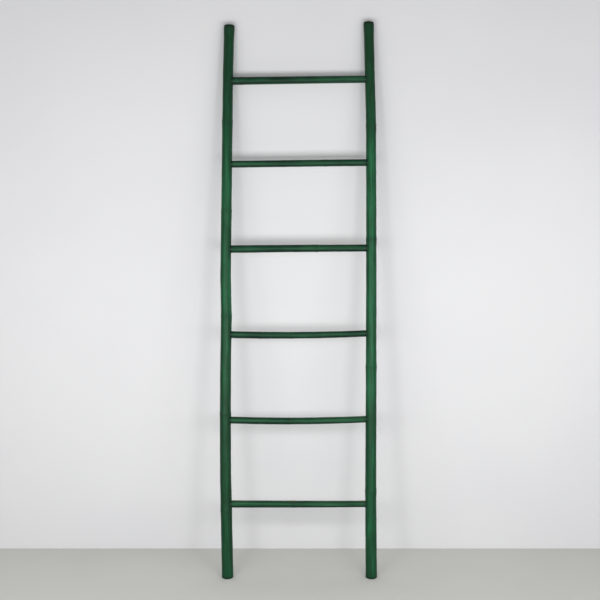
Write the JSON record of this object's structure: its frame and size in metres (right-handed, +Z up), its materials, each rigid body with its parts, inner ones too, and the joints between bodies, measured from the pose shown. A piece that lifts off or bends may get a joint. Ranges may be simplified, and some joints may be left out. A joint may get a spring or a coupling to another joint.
{
  "type": "quilt ladder",
  "caption": "Leaning bamboo ladder for hanging quilts and blankets: hollow stained culm poles joined by thin culm rungs, socketed and pinned.",
  "frame": {"origin": "middle of the ladder's footprint box, on the floor that its feet stand on", "axes": "+Z up, +Y towards the wall that the top leans on, +X to the right as seen from the front"},
  "size_m": [0.5096, 0.2852, 1.7846],
  "materials": {
    "stained_pole": "green-stained bamboo skin, satin",
    "stained_rung": "green-stained bamboo skin, satin, worn to ochre along the top",
    "stained_pin": "split bamboo, end grain, stained with the pole",
    "dowel_core": "bare turned hardwood",
    "foot_plug": "turned hardwood, stained with the pole"
  },
  "bodies": {
    "root": {"left_stile": "stained_pole", "right_stile": "stained_pole", "left_foot_plug": "foot_plug", "right_foot_plug": "foot_plug", "rung_1": "stained_rung", "rung_2": "stained_rung", "rung_3": "stained_rung", "rung_4": "stained_rung", "rung_5": "stained_rung", "rung_6": "stained_rung", "rung_1_left_core": "dowel_core", "rung_1_right_core": "dowel_core", "rung_2_left_core": "dowel_core", "rung_2_right_core": "dowel_core", "rung_3_left_core": "dowel_core", "rung_3_right_core": "dowel_core", "rung_4_left_core": "dowel_core", "rung_4_right_core": "dowel_core", "rung_5_left_core": "dowel_core", "rung_5_right_core": "dowel_core", "rung_6_left_core": "dowel_core", "rung_6_right_core": "dowel_core", "rung_1_left_pin": "stained_pin", "rung_1_right_pin": "stained_pin", "rung_2_left_pin": "stained_pin", "rung_2_right_pin": "stained_pin", "rung_3_left_pin": "stained_pin", "rung_3_right_pin": "stained_pin", "rung_4_left_pin": "stained_pin", "rung_4_right_pin": "stained_pin", "rung_5_left_pin": "stained_pin", "rung_5_right_pin": "stained_pin", "rung_6_left_pin": "stained_pin", "rung_6_right_pin": "stained_pin"}
  },
  "joints": []
}
